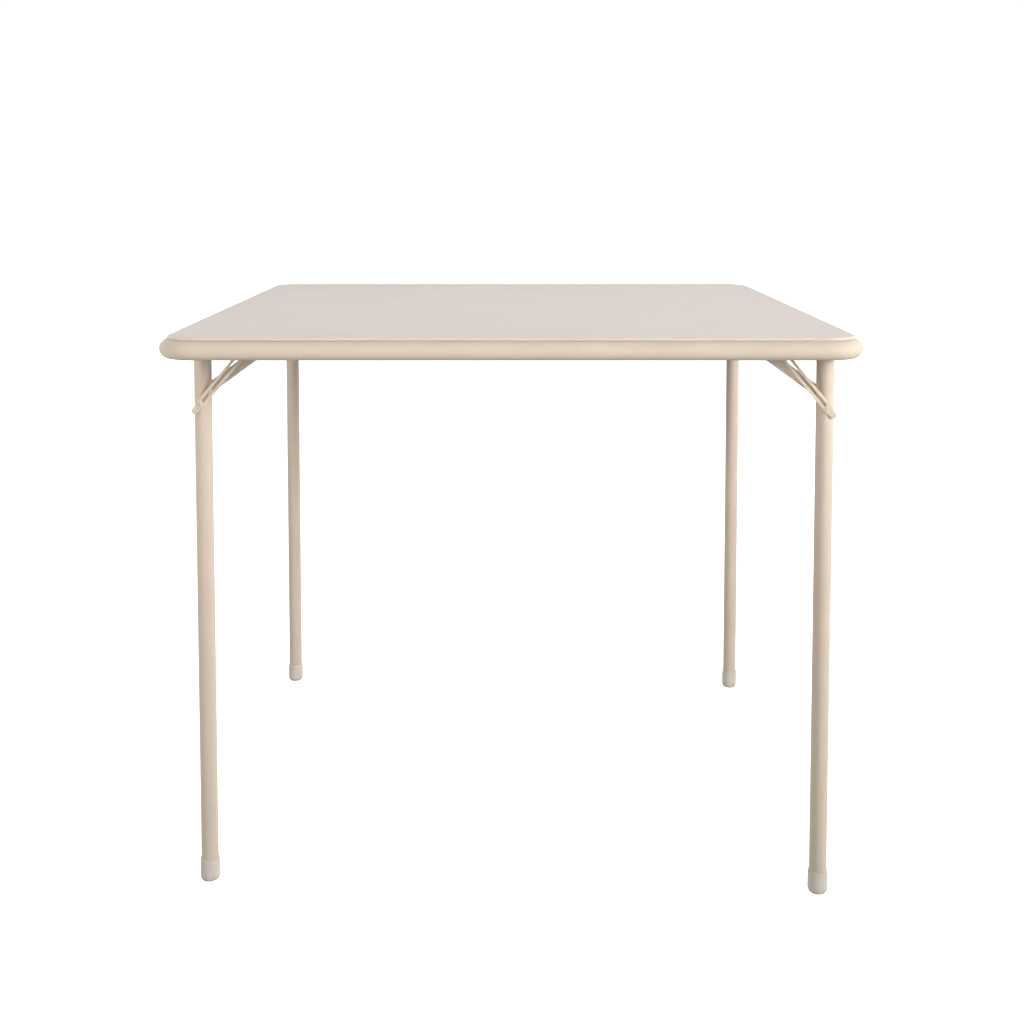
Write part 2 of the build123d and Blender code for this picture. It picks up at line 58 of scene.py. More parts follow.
PIVOT = 0.6968
LEG_RADIUS = 0.0111
LEG_WALL = 0.0012
STRAP = 0.0012
STRAP_ROUND = 0.00028
PLATE_INNER = 0.0115
LOCK_INNER = 0.0127
RIVET = 0.0025
PIN = 0.0025
RUNNING_GAP = 0.00005
HINGE_EAR = LEG_RADIUS + 0.0004 + 0.0015
GUIDE_EAR_INNER, GUIDE_EAR_OUTER, GUIDE_GAP = 0.01535, 0.01655, 0.0003
GUIDE_WEB = 0.0012
TAB_THICKNESS = 0.0015
TAB_PLACES = (-0.22, 0.0, 0.22)
SCREW_HEAD = 0.0032

# Each strap: its rivet's drop below the pivot, its half width and its slope. Its pin's rise
# above the pivot brings its edge to STRAP_CREST, and both give its length between holes.
LOCK_DROP, LOCK_HALF, LOCK_SLOPE = 0.0718, 0.0055, radians(50)
STAY_DROP, STAY_HALF, STAY_SLOPE = 0.0604, 0.0067, radians(36.1)
STRAP_CREST = 0.0109
LOCK_RISE = STRAP_CREST - LOCK_HALF
STAY_RISE = STRAP_CREST - STAY_HALF
LOCK_LENGTH = (LOCK_DROP + LOCK_RISE) / sin(LOCK_SLOPE)
STAY_LENGTH = (STAY_DROP + STAY_RISE) / sin(STAY_SLOPE)
LOCK_PIN = (LOCK_LENGTH * cos(LOCK_SLOPE), LOCK_RISE)
STAY_PIN = (STAY_LENGTH * cos(STAY_SLOPE), STAY_RISE)

# Each leg's x and y, the way x runs to the table's middle, and the side its slotted strap is on
CORNERS = {
    "front_right": (0.391, -0.368, -1, -1),
    "front_left": (-0.391, -0.336, 1, -1),
    "back_left": (-0.391, 0.368, 1, 1),
    "back_right": (0.391, 0.336, -1, 1),
}


class Shader:
    """A short way to write node trees: each method adds one node and returns its output."""

    def __init__(self, name):
        self.material = bpy.data.materials.new(name)
        self.material.use_nodes = True
        self.tree = self.material.node_tree
        self.bsdf = self.tree.nodes["Principled BSDF"]

    def node(self, kind, inputs=(), **settings):
        made = self.tree.nodes.new(kind)
        for key, value in settings.items():
            setattr(made, key, value)
        for key, value in dict(inputs).items():
            if isinstance(value, bpy.types.NodeSocket):
                self.tree.links.new(value, made.inputs[key])
            else:
                made.inputs[key].default_value = value
        return made

    def place(self, scale=(1, 1, 1)):
        coords = self.node("ShaderNodeTexCoord").outputs["Object"]
        if scale == (1, 1, 1):
            return coords
        return self.node("ShaderNodeMapping", {"Vector": coords, "Scale": scale}).outputs[0]

    def noise(self, scale, detail=2.0, rough=0.5, vector=None):
        vector = self.place() if vector is None else vector
        made = self.node(
            "ShaderNodeTexNoise",
            {"Vector": vector, "Scale": scale, "Detail": detail, "Roughness": rough},
        )
        return made.outputs[0]

    def cell_edges(self, scale, vector):
        made = self.node(
            "ShaderNodeTexVoronoi",
            {"Vector": vector, "Scale": scale},
            feature="DISTANCE_TO_EDGE",
        )
        return made.outputs["Distance"]

    def ramp(self, value, low, high, to_low=0.0, to_high=1.0):
        made = self.node(
            "ShaderNodeMapRange",
            {0: value, 1: low, 2: high, 3: to_low, 4: to_high},
            clamp=True,
        )
        return made.outputs[0]

    def maths(self, operation, a, b):
        return self.node("ShaderNodeMath", {0: a, 1: b}, operation=operation).outputs[0]

    def mix(self, share, a, b):
        made = self.node("ShaderNodeMix", data_type="RGBA")
        for index, value in ((0, share), (6, a), (7, b)):
            if isinstance(value, bpy.types.NodeSocket):
                self.tree.links.new(value, made.inputs[index])
            else:
                made.inputs[index].default_value = value
        return made.outputs[2]

    def bump(self, height, distance, strength, under=None):
        inputs = {"Height": height, "Distance": distance, "Strength": strength}
        if under is not None:
            inputs["Normal"] = under
        return self.node("ShaderNodeBump", inputs).outputs[0]

    def upright(self, vector):
        """A vector's vertical part."""
        return self.node("ShaderNodeSeparateXYZ", {0: vector}).outputs[2]

    def edge(self, radius):
        """How near a point is to an edge: the rounded normal's lean from the real one."""
        rounded = self.node("ShaderNodeBevel", {"Radius": radius}, samples=4).outputs[0]
        flat = self.node("ShaderNodeNewGeometry").outputs["Normal"]
        made = self.node("ShaderNodeVectorMath", {0: rounded, 1: flat}, operation="DOT_PRODUCT")
        return self.ramp(made.outputs["Value"], 0.98, 0.75)

    def finish(self, **values):
        for key, value in values.items():
            socket = self.bsdf.inputs[key.replace("_", " ")]
            if isinstance(value, bpy.types.NodeSocket):
                self.tree.links.new(value, socket)
            else:
                socket.default_value = value
        return self.material


def rgb(red, green, blue):
    return (red, green, blue, 1.0)


# Materials


def paint_material(name, painted_light_gain=1.0):
    """Baked beige enamel: a fine orange peel, faint cloudiness, fine darker specks, and a darker
    beige in patches along edges.
    """
    made = Shader(name)
    cloud = made.noise(14.0, 3.0)
    fleck = made.ramp(made.noise(900.0, 1.0), 0.68, 0.78)
    low, high = (0.735, 0.620, 0.494), (0.765, 0.652, 0.527)
    # Scaling the colours above one gives a lighter copy of the same enamel: painted light.
    low, high = (rgb(*[painted_light_gain * value for value in colour]) for colour in (low, high))
    base = made.mix(made.ramp(cloud, 0.3, 0.7), low, high)
    speckled = made.mix(made.maths("MULTIPLY", fleck, 0.25), base, rgb(0.60, 0.48, 0.34))
    # Darker beige in patches along edges, wherever the bevelled normal leans from the real one.
    edge_patches = made.maths("MULTIPLY", made.edge(0.0006), made.ramp(made.noise(160.0, 4.0), 0.55, 0.72))
    edge_darkened = made.mix(made.maths("MULTIPLY", edge_patches, 0.55), speckled, rgb(0.42, 0.35, 0.27))
    peel = made.bump(made.noise(620.0, 2.0), 0.0002, 0.25)
    fine = made.bump(made.noise(2600.0, 1.0), 0.00005, 0.3, peel)
    rough = made.ramp(made.noise(45.0, 3.0), 0.3, 0.7, 0.48, 0.60)
    return made.finish(Base_Color=edge_darkened, Roughness=rough, Normal=fine, Specular_IOR_Level=0.33)


def vinyl_material():
    """Embossed vinyl: a fine pebbled leather emboss with painted shade in its grooves, and a
    painted highlight with lower roughness over the panel's rounded edge.
    """
    made = Shader("embossed_vinyl")
    sway = made.node("ShaderNodeTexNoise", {"Vector": made.place(), "Scale": 260.0}).outputs[1]
    drift = made.node("ShaderNodeVectorMath", {0: sway, 3: 0.0016}, operation="SCALE").outputs[0]
    warp = made.node("ShaderNodeVectorMath", {0: made.place(), 1: drift},
                     operation="ADD").outputs[0]
    pebble = made.ramp(made.cell_edges(620.0, warp), 0.0, 0.22)
    crease = made.noise(420.0, 4.0, 0.6)
    cloud = made.ramp(made.noise(7.0, 4.0, 0.6), 0.3, 0.7)
    base = made.mix(cloud, rgb(0.722, 0.634, 0.567), rgb(0.750, 0.662, 0.598))
    # Painted shade: the grooves between the pebbles are darkened by up to 22%.
    painted_groove_shade = made.mix(made.ramp(pebble, 0.0, 1.0, 0.22, 0.0), base, rgb(0.52, 0.45, 0.40))
    fleck = made.ramp(made.noise(300.0, 2.0), 0.35, 0.65, 0.0, 0.10)
    toned = made.mix(fleck, painted_groove_shade, rgb(0.80, 0.72, 0.68))
    upward = made.upright(made.node("ShaderNodeNewGeometry").outputs["Normal"])
    edge_tilt = made.ramp(upward, 0.985, 0.80)
    # Painted highlight: the panel's rounded edge is painted paler, the more so the further its
    # normal leans from straight up.
    painted_edge_highlight = made.mix(made.maths("MULTIPLY", edge_tilt, 0.85), toned, rgb(0.84, 0.735, 0.64))
    height = made.maths("ADD", pebble, made.maths("MULTIPLY", crease, 0.6))
    relief = made.bump(height, 0.00018, 0.5)
    rough = made.maths("SUBTRACT", made.ramp(pebble, 0.0, 1.0, 0.62, 0.50),
                       made.maths("MULTIPLY", edge_tilt, 0.15))
    return made.finish(Base_Color=painted_edge_highlight, Roughness=rough, Normal=relief, Specular_IOR_Level=0.35)


def board_material():
    """Hardboard: fine fibres, with the woven screen's mark on the face that shows below."""
    made = Shader("hardboard")
    fibre = made.noise(240.0, 6.0, 0.65, made.place((1.0, 2.2, 1.0)))
    blotch = made.noise(11.0, 4.0, 0.6)
    dark = rgb(0.150, 0.078, 0.036)
    pale = rgb(0.290, 0.170, 0.086)
    base = made.mix(made.ramp(fibre, 0.32, 0.70), dark, pale)
    toned = made.mix(made.ramp(blotch, 0.3, 0.7, 0.0, 0.35), base, rgb(0.20, 0.115, 0.058))
    weave = {"Vector": made.place(), "Scale": 170.0, "Distortion": 0.4}
    across, along = (made.node("ShaderNodeTexWave", weave, bands_direction=way).outputs[1]
                     for way in "XY")
    screen = made.maths("MULTIPLY", across, along)
    marked = made.mix(made.maths("MULTIPLY", screen, 0.25), toned, rgb(0.10, 0.052, 0.024))
    height = made.maths("ADD", screen, made.maths("MULTIPLY", fibre, 0.4))
    relief = made.bump(height, 0.00025, 0.6)
    return made.finish(Base_Color=marked, Roughness=0.72, Normal=relief, Specular_IOR_Level=0.25)


def foot_material():
    """Moulded plastic: a fine satin texture, darker in patches towards the floor."""
    made = Shader("foot_plastic")
    height = made.upright(made.place())
    patches = made.ramp(made.noise(230.0, 5.0, 0.65), 0.40, 0.62)
    # Darker in patches within the lowest 9 mm, towards the floor.
    floor_darkening = made.maths("MULTIPLY", made.ramp(height, 0.009, 0.0), patches)
    cloud = made.ramp(made.noise(55.0, 3.0), 0.3, 0.7)
    base = made.mix(cloud, rgb(0.760, 0.682, 0.596), rgb(0.797, 0.718, 0.630))
    toned = made.mix(made.maths("MULTIPLY", floor_darkening, 0.5), base, rgb(0.30, 0.27, 0.23))
    relief = made.bump(made.noise(1500.0, 2.0), 0.00012, 0.35)
    rough = made.ramp(made.noise(90.0, 3.0), 0.3, 0.7, 0.48, 0.60)
    return made.finish(Base_Color=toned, Roughness=rough, Normal=relief, Specular_IOR_Level=0.4)


def zinc_material():
    """Zinc-plated steel: brushed and a little cloudy."""
    made = Shader("zinc_plate")
    cloud = made.ramp(made.noise(420.0, 4.0, 0.6), 0.3, 0.7)
    base = made.mix(cloud, rgb(0.62, 0.61, 0.58), rgb(0.76, 0.75, 0.72))
    scratch = made.noise(700.0, 3.0, 0.6, made.place((1.0, 6.0, 1.0)))
    relief = made.bump(scratch, 0.00008, 0.4)
    rough = made.ramp(scratch, 0.3, 0.7, 0.28, 0.45)
    return made.finish(Base_Color=base, Metallic=0.5, Roughness=rough, Normal=relief)


def weld_material():
    """Weld metal under the same enamel: the paint, a little thicker and duller."""
    made = Shader("painted_weld")
    cloud = made.ramp(made.noise(300.0, 4.0, 0.6), 0.3, 0.7)
    base = made.mix(cloud, rgb(0.66, 0.55, 0.42), rgb(0.74, 0.63, 0.49))
    relief = made.bump(made.noise(1400.0, 3.0), 0.0002, 0.5)
    return made.finish(Base_Color=base, Roughness=0.48, Normal=relief, Specular_IOR_Level=0.45)


def floor_material():
    """An evenly lit pale floor, clear from below so that the underside can be seen."""
    made = Shader("pale_sweep")
    soft = made.ramp(made.noise(0.6, 2.0), 0.0, 1.0, 1.02, 1.06)
    under = made.node("ShaderNodeNewGeometry").outputs["Backfacing"]
    clear = made.node("ShaderNodeMixShader", {0: under})
    made.tree.links.new(made.bsdf.outputs[0], clear.inputs[1])
    made.tree.links.new(made.node("ShaderNodeBsdfTransparent").outputs[0], clear.inputs[2])
    made.tree.links.new(clear.outputs[0], made.tree.nodes["Material Output"].inputs[0])
    white = rgb(1, 1, 1)
    return made.finish(Base_Color=white, Roughness=0.9, Emission_Color=white,
                       Emission_Strength=soft)


# Mesh helpers


def add_piece(name, bm, material, body, crease_angle=35.0):
    """Turns a bmesh into a smooth-shaded piece that rides on a body."""
    bmesh.ops.recalc_face_normals(bm, faces=bm.faces)
    mesh = bpy.data.meshes.new(name)
    bm.to_mesh(mesh)
    bm.free()
    for face in mesh.polygons:
        face.use_smooth = True
    mesh.set_sharp_from_angle(angle=radians(crease_angle))
    mesh.materials.append(material)
    piece = bpy.data.objects.new(name, mesh)
    bpy.context.scene.collection.objects.link(piece)
    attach(piece, body)
    return piece


def lathe(bm, profile, frame_matrix, steps=40):
    """Turns (radius, height) points into a solid about the matrix's z axis. A profile starts
    and ends on the axis."""
    rings = []
    for radius, height in profile:
        if radius == 0:
            rings.append([bm.verts.new(frame_matrix @ Vector((0, 0, height)))])
            continue
        rings.append([
            bm.verts.new(frame_matrix @ Vector((
                radius * cos(2 * pi * step / steps), radius * sin(2 * pi * step / steps), height)))
            for step in range(steps)
        ])
    for low, high in zip(rings, rings[1:]):
        for step in range(steps):
            ahead = (step + 1) % steps
            if len(low) == 1:
                bm.faces.new((low[0], high[step], high[ahead]))
            elif len(high) == 1:
                bm.faces.new((low[step], low[ahead], high[0]))
            else:
                bm.faces.new((low[step], low[ahead], high[ahead], high[step]))


def arc(centre_x, centre_y, radius, start, end, count):
    """Points on an arc, angles in degrees."""
    return [
        (
            centre_x + radius * cos(radians(start + (end - start) * step / count)),
            centre_y + radius * sin(radians(start + (end - start) * step / count)),
        )
        for step in range(count + 1)
    ]


def hole_loop(x, y, radius):
    """A round hole's outline, clockwise."""
    return arc(x, y, radius, 360, 15, 23)


def inset_loop(points, amount):
    """A loop moved to its left by an amount, along the bisector at each point."""
    moved = []
    count = len(points)
    for index, (x, y) in enumerate(points):
        before = Vector(points[index - 1])
        here = Vector((x, y))
        after = Vector(points[(index + 1) % count])
        first = (here - before).normalized()
        second = (after - here).normalized()
        left = Vector((-first.y - second.y, first.x + second.x))
        left.normalize()
        lean = max(0.5, left.dot(Vector((-first.y, first.x))))
        moved.append(tuple(here + left * (amount / lean)))
    return moved


def plate(bm, outer, holes, thickness, rounding, matrix):
    """A flat stamping with rounded edges: the outer loop runs anticlockwise, holes clockwise."""
    bevel = rounding * 0.29
    profile = [
        (rounding, 0.0),
        (bevel, bevel),
        (0.0, rounding),
        (0.0, thickness - rounding),
        (bevel, thickness - bevel),
        (rounding, thickness),
    ]
    ends = [[], []]
    for loop in [outer] + holes:
        rings = []
        for inward, height in profile:
            points = inset_loop(loop, inward)
            rings.append([bm.verts.new(matrix @ Vector((x, y, height))) for x, y in points])
        for low, high in zip(rings, rings[1:]):
            for index in range(len(loop)):
                ahead = (index + 1) % len(loop)
                bm.faces.new((low[index], low[ahead], high[ahead], high[index]))
        for end, ring in zip(ends, (rings[0], rings[-1])):
            for index in range(len(ring)):
                end.append(bm.edges.get((ring[index], ring[(index + 1) % len(ring)])))
    for end in ends:
        bmesh.ops.triangle_fill(bm, edges=end, use_beauty=True, use_dissolve=False)


def tube(bm, path, radii):
    """A closed tube along points, with its own radius at each point."""
    sides = 10
    rings = []
    for index, point in enumerate(path):
        ahead = path[min(index + 1, len(path) - 1)]
        behind = path[max(index - 1, 0)]
        heading = (ahead - behind).normalized()
        side = heading.cross(Vector((0.31, 0.17, 0.93))).normalized()
        other = heading.cross(side)
        rings.append([
            bm.verts.new(point + radii[index] * (
                side * cos(2 * pi * step / sides) + other * sin(2 * pi * step / sides)))
            for step in range(sides)
        ])
    for low, high in zip(rings, rings[1:]):
        for step in range(sides):
            ahead = (step + 1) % sides
            bm.faces.new((low[step], low[ahead], high[ahead], high[step]))
    bm.faces.new(rings[0])
    bm.faces.new(rings[-1])


def weld_bead(bm, points, radius, pitch, chance):
    """A run of overlapping weld ripples along points, tapered at both ends."""
    lengths = [0.0]
    for before, after in zip(points, points[1:]):
        lengths.append(lengths[-1] + (after - before).length)
    total = lengths[-1]
    count = max(12, int(total / pitch * 5))
    path = []
    radii = []
    for step in range(count + 1):
        along = total * step / count
        index = max(i for i in range(len(points) - 1) if lengths[i] <= along)
        share = (along - lengths[index]) / (lengths[index + 1] - lengths[index])
        point = points[index].lerp(points[index + 1], min(1.0, share))
        end = min(along, total - along) / (2 * radius)
        taper = sqrt(max(0.06, 1 - (1 - min(1.0, end)) ** 2))
        ripple = 1 + 0.10 * abs(sin(pi * along / pitch)) + chance.uniform(-0.03, 0.03)
        path.append(point)
        radii.append(radius * taper * ripple)
    tube(bm, path, radii)


# Frames at a corner's pins and straps


def pin_frame(corner, side, point):
    """A matrix at a pin: z runs out from the leg's middle along the pin."""
    x, y, inward, lock_side = CORNERS[corner]
    out = lock_side * side
    place = Matrix.Translation((x + inward * point[0], y, PIVOT + point[1]))
    turn = Matrix(((1, 0, 0), (0, 0, out), (0, 1, 0))).to_4x4()
    return place @ turn


def strap_frame(corner, side, drop, slope, inner):
    """A matrix at a strap's rivet: x along the strap, z outwards from its inner face."""
    x, y, inward, lock_side = CORNERS[corner]
    out = lock_side * side
    along = Vector((inward * cos(slope), 0, sin(slope)))
    across = Vector((-inward * sin(slope), 0, cos(slope)))
    outward = Vector((0, out, 0))
    matrix = Matrix((along, across, outward)).transposed().to_4x4()
    matrix.translation = Vector((x, y + out * inner, PIVOT - drop))
    return matrix


# The panel


def rounded_square(half, corner):
    """A square's outline with round corners, anticlockwise."""
    points = []
    middle = half - corner
    for start, x_way, y_way in ((-90, 1, -1), (0, 1, 1), (90, -1, 1), (180, -1, -1)):
        points += arc(x_way * middle, y_way * middle, corner, start, start + 90, 14)
    return points


def make_vinyl():
    """The covering: stretched over the board's face, round its edge and down to the rail."""
    half = PANEL_WIDTH / 2
    foot = RAIL_TOP + 0.0001
    edge = (half - PANEL_EDGE, RAIL_TOP + 0.001)
    lower = (half - VINYL_LOWER, foot + VINYL_LOWER)
    outer = arc(*lower, VINYL_LOWER, -90, 0, 6) + arc(*edge, PANEL_EDGE, 0, 90, 9)
    inner = arc(*edge, PANEL_EDGE - VINYL, 90, 0, 6) + [(half - VINYL, foot)]
    bm = bmesh.new()
    rings = []
    for reach, height in outer + inner:
        points = rounded_square(reach, PANEL_CORNER - (half - reach))
        rings.append([bm.verts.new((x, y, height)) for x, y in points])
    count = len(rings[0])
    top_ring = len(outer) - 1
    for index in range(len(rings)):
        if index == top_ring:
            continue
        low, high = rings[index], rings[(index + 1) % len(rings)]
        for step in range(count):
            ahead = (step + 1) % count
            bm.faces.new((low[step], low[ahead], high[ahead], high[step]))
    for ring in (rings[top_ring], rings[top_ring + 1]):
        bm.faces.new(ring)
    cover = add_piece("vinyl_sheet", bm, MATERIALS["vinyl"], "table_top", 60.0)
    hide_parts("vinyl_cover")


# Straps, rivets and pins


def make_lock_brace(corner, matrix):
    """The strap in front of the leg: a long slot, a squarish low end and a round high end."""
    length, half = LOCK_LENGTH, LOCK_HALF
    end_reach, end_round = 0.0072, 0.0034
    slot, slot_start, slot_end_margin = 0.0017, 0.0034, 0.0085
    outer = arc(end_round - end_reach, end_round - half, end_round, 180, 270, 8)
    outer += arc(length, 0, half, -90, 90, 20)
    outer += arc(end_round - end_reach, half - end_round, end_round, 90, 180, 8)
    start, end = slot_start + slot, length - slot_end_margin - slot
    long_hole = arc(end, 0, slot, 90, -90, 12) + arc(start, 0, slot, 270, 90, 12)
    holes = [long_hole, hole_loop(0, 0, RIVET + RUNNING_GAP), hole_loop(length, 0, PIN)]
    bm = bmesh.new()
    plate(bm, outer, holes, STRAP, STRAP_ROUND, matrix)
    piece = add_piece(f"slotted_strap_{corner}", bm, MATERIALS["paint_painted_lighter"],
                      f"lock_brace_{corner}")
    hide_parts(f"lock_brace_{corner}")


def make_finger_tab(corner, matrix):
    """The tab behind the slotted strap: a round tip for a finger, and a notch that keeps the
    strap's slot open."""
    half, reach, end_round = 0.005, 0.015, 0.0006
    tip_reach, tip_round = 0.017, 0.0042
    notch, notch_start = 0.0022, 0.0034
    outer = arc(tip_round - tip_reach, 0, tip_round, 98, 262, 16)
    outer += [(0, -half)]
    outer += arc(reach - end_round, end_round - half, end_round, -90, 0, 3)
    outer += [(reach, -notch)] + arc(notch_start + notch, 0, notch, 270, 90, 10)
    outer += [(reach, notch)]
    outer += arc(reach - end_round, half - end_round, end_round, 0, 90, 3)
    outer += [(0, half)]
    bm = bmesh.new()
    plate(bm, outer, [hole_loop(0, 0, RIVET + RUNNING_GAP)], STRAP, STRAP_ROUND, matrix)
    piece = add_piece(f"finger_plate_{corner}", bm, MATERIALS["paint_painted_lighter"],
                      f"lock_brace_{corner}")
    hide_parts(f"finger_tab_{corner}")


def make_stay_link(corner, matrix):
    """The plain strap behind the leg, round at both ends."""
    length, half = STAY_LENGTH, STAY_HALF
    outer = arc(length, 0, half, -90, 90, 20) + arc(0, 0, half, 90, 270, 20)
    holes = [hole_loop(0, 0, RIVET + RUNNING_GAP), hole_loop(length, 0, PIN)]
    bm = bmesh.new()
    plate(bm, outer, holes, STRAP, STRAP_ROUND, matrix)
    piece = add_piece(f"plain_strap_{corner}", bm, MATERIALS["paint"],
                      f"stay_link_{corner}")
    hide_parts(f"stay_link_{corner}")


def dome(head_radius, start, height):
    """A rivet head's outline: a short rim, then a dome that ends on the axis."""
    rim = height * 0.25
    crown = height - rim
    points = [(head_radius, start), (head_radius, start + rim)]
    for step in range(1, 9):
        lean = radians(90 * step / 9)
        points.append((head_radius * cos(lean), start + rim + crown * sin(lean)))
    return points + [(0, start + height)]


def make_strap_rivet(name, node, corner, side, drop, inner):
    """A rivet through the leg's wall: a swollen tail in the tube and a domed head outside."""
    tail_radius, tail_height, tail_gap = 0.0035, 0.0025, 0.0001
    head_radius, head_height = 0.0031, 0.0013
    tail = sqrt((LEG_RADIUS - LEG_WALL) ** 2 - tail_radius ** 2) - tail_gap
    end, bulge = tail - tail_height, tail - tail_height / 2
    seat = inner + STRAP + RUNNING_GAP
    profile = [(0, end), (RIVET, end), (tail_radius, bulge), (tail_radius, tail),
               (RIVET, tail), (RIVET, seat)] + dome(head_radius, seat, head_height)
    bm = bmesh.new()
    lathe(bm, profile, pin_frame(corner, side, (0, -drop)))
    piece = add_piece(name, bm, MATERIALS["paint"], f"leg_{corner}")
    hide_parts(node)


def make_strap_pin(name, node, corner, side, point, inner, body):
    """A strap's upper pin: a shoulder up to the bracket's ear, then the pin and its head."""
    shoulder_radius, head_radius, head_height = 0.004, 0.0045, 0.0012
    face = inner + STRAP
    shoulder, head = GUIDE_EAR_INNER - GUIDE_GAP, GUIDE_EAR_OUTER + GUIDE_GAP
    profile = [(0, inner), (PIN, inner), (PIN, face), (shoulder_radius, face),
               (shoulder_radius, shoulder), (PIN, shoulder), (PIN, head)]
    profile += dome(head_radius, head, head_height)
    bm = bmesh.new()
    lathe(bm, profile, pin_frame(corner, side, point), 32)
    piece = add_piece(name, bm, MATERIALS["zinc"], body)
    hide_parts(node)


def make_hinge_pin(corner):
    """The leg's pivot: a pin right through the leg and its bracket, headed at both ends."""
    radius, head_radius, head_height = 0.003, 0.00525, 0.0016
    head = HINGE_EAR + RUNNING_GAP
    far = dome(head_radius, head, head_height)
    near = [(reach, -height) for reach, height in reversed(far)]
    bm = bmesh.new()
    lathe(bm, near + [(radius, -head), (radius, head)] + far, pin_frame(corner, 1, (0, 0)))
    piece = add_piece(f"pivot_rivet_{corner}", bm, MATERIALS["paint"], "table_top")
    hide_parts(f"hinge_pin_{corner}")


# Feet


def make_foot(corner):
    """The moulded cap: dished below, round at the floor, with a groove under its collar."""
    x, y, _, _ = CORNERS[corner]
    height, base, bore = 0.029, 0.004, LEG_RADIUS + RUNNING_GAP
    contact, swell, rise = 0.009, 0.00365, 0.0065
    sole = [(0, 0.0004), (0.006, 0.0004), (0.0068, 0)]
    sole += [(contact + swell * sin(radians(a)), rise * (1 - cos(radians(a))))
             for a in range(0, 91, 10)]
    groove = [(0.01265, 0.0228), (0.0126, 0.0236), (0.01242, 0.02415), (0.01218, 0.0245),
              (0.01218, 0.02495), (0.0124, 0.0252)]
    collar = [(0.0124, 0.0281), (0.0123, 0.0286), (0.0120, 0.0289), (0.0118, height)]
    mouth = [(bore, height), (bore, base), (0, base)]
    bm = bmesh.new()
    lathe(bm, sole + groove + collar + mouth, Matrix.Translation((x, y, 0)), 72)
    piece = add_piece(f"foot_{corner}", bm, MATERIALS["foot"], f"leg_{corner}")
    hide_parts(f"foot_cap_{corner}")


# Screws and tabs


def screw_mesh():
    """One pan-headed screw that points up, its head under the origin, with a cross recess."""
    head_face, recess_floor, taper = -0.0011, -0.0004, 0.6
    shank, length, steps = 0.00175, 0.005, 28
    half, arm = 0.00032, 0.0013
    cross = [(half, -arm), (half, -half), (arm, -half), (arm, half), (half, half), (half, arm)]
    cross += [(-x, -y) for x, y in cross]
    bm = bmesh.new()
    floor = [bm.verts.new((x * taper, y * taper, recess_floor)) for x, y in cross]
    mouth = [bm.verts.new((x, y, head_face)) for x, y in cross]
    for index in range(12):
        ahead = (index + 1) % 12
        bm.faces.new((mouth[index], mouth[ahead], floor[ahead], floor[index]))
    bm.faces.new(floor)
    profile = [(0.0020, head_face), (0.0026, -0.00095), (0.0030, -0.0006),
               (SCREW_HEAD, -0.0002), (SCREW_HEAD, 0.0), (shank, 0.0), (shank, length)]
    rings = [[bm.verts.new((r * cos(2 * pi * k / steps), r * sin(2 * pi * k / steps), z))
              for k in range(steps)] for r, z in profile]
    for low, high in zip(rings, rings[1:]):
        for k in range(steps):
            bm.faces.new((low[k], low[(k + 1) % steps], high[(k + 1) % steps], high[k]))
    bm.faces.new(rings[-1])
    rim = [bm.edges.get((rings[0][k], rings[0][(k + 1) % steps])) for k in range(steps)]
    rim += [bm.edges.get((mouth[k], mouth[(k + 1) % 12])) for k in range(12)]
    bmesh.ops.triangle_fill(bm, edges=rim, use_beauty=True, use_dissolve=False)
    mesh = bpy.data.meshes.new("screw")
    bm.to_mesh(mesh)
    bm.free()
    return mesh


def make_screws(name, node, places, seat):
    """Copies of the screw at places in plan, each turned its own way."""
    chance = random.Random(name)
    bm = bmesh.new()
    for x, y in places:
        before = len(bm.verts)
        bm.from_mesh(SCREW)
        bm.verts.ensure_lookup_table()
        new = bm.verts[before:]
        turn = Matrix.Translation((x, y, seat)) @ Matrix.Rotation(chance.uniform(0, pi), 4, "Z")
        bmesh.ops.transform(bm, matrix=turn, verts=new)
    piece = add_piece(name, bm, MATERIALS["zinc"], "table_top", 30.0)
    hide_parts(node)


def screw_line():
    """How far the panel's screws are from the table's middle."""
    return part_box("panel_screws")[1][1] - SCREW_HEAD


def panel_screw_places():
    line = screw_line()
    places = []
    for step in TAB_PLACES:
        places += [(step, -line), (step, line), (line, step), (-line, step)]
    return places


def make_tabs():
    """The panel's tabs: rounded plates from the rail in to just past their screws."""
    half, root, corner, margin = 0.012, 0.0083, 0.008, 0.0039
    hole_radius, rounding = 0.00185, 0.0003
    hole = RAIL_X - screw_line()
    end = hole + margin
    outer = [(-half, root), (half, root)]
    outer += arc(half - corner, end - corner, corner, 0, 90, 8)
    outer += arc(corner - half, end - corner, corner, 90, 180, 8)
    screw = hole_loop(0, hole, hole_radius)
    bm = bmesh.new()
    for step in TAB_PLACES:
        for turn in range(4):
            place = Matrix.Translation((step, -RAIL_X, BOARD_UNDERSIDE - TAB_THICKNESS))
            spin = Matrix.Rotation(turn * pi / 2, 4, "Z")
            plate(bm, outer, [screw], TAB_THICKNESS, rounding, spin @ place)
    piece = add_piece("tab_plates", bm, MATERIALS["paint"], "table_top")
    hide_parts("panel_tabs")


# Welds


def make_tab_welds():
    """A bead under each tab, along the rail."""
    chance = random.Random("tabs")
    length, sink, stand_off = 0.019, 0.0002, 0.0001
    radius, pitch = 0.0011, 0.0016
    height = BOARD_UNDERSIDE - TAB_THICKNESS - sink
    reach = sqrt(RAIL_RADIUS ** 2 - (height - RAIL_AXIS) ** 2) + stand_off
    line = [step / 8 * length - length / 2 for step in range(9)]
    bm = bmesh.new()
    for step in TAB_PLACES:
        for turn in range(4):
            spin = Matrix.Rotation(turn * pi / 2, 4, "Z")
            points = [spin @ Vector((step + a, reach - RAIL_X, height)) for a in line]
            weld_bead(bm, points, radius, pitch, chance)
    add_piece("tab_welds", bm, MATERIALS["weld"], "table_top", 60.0)


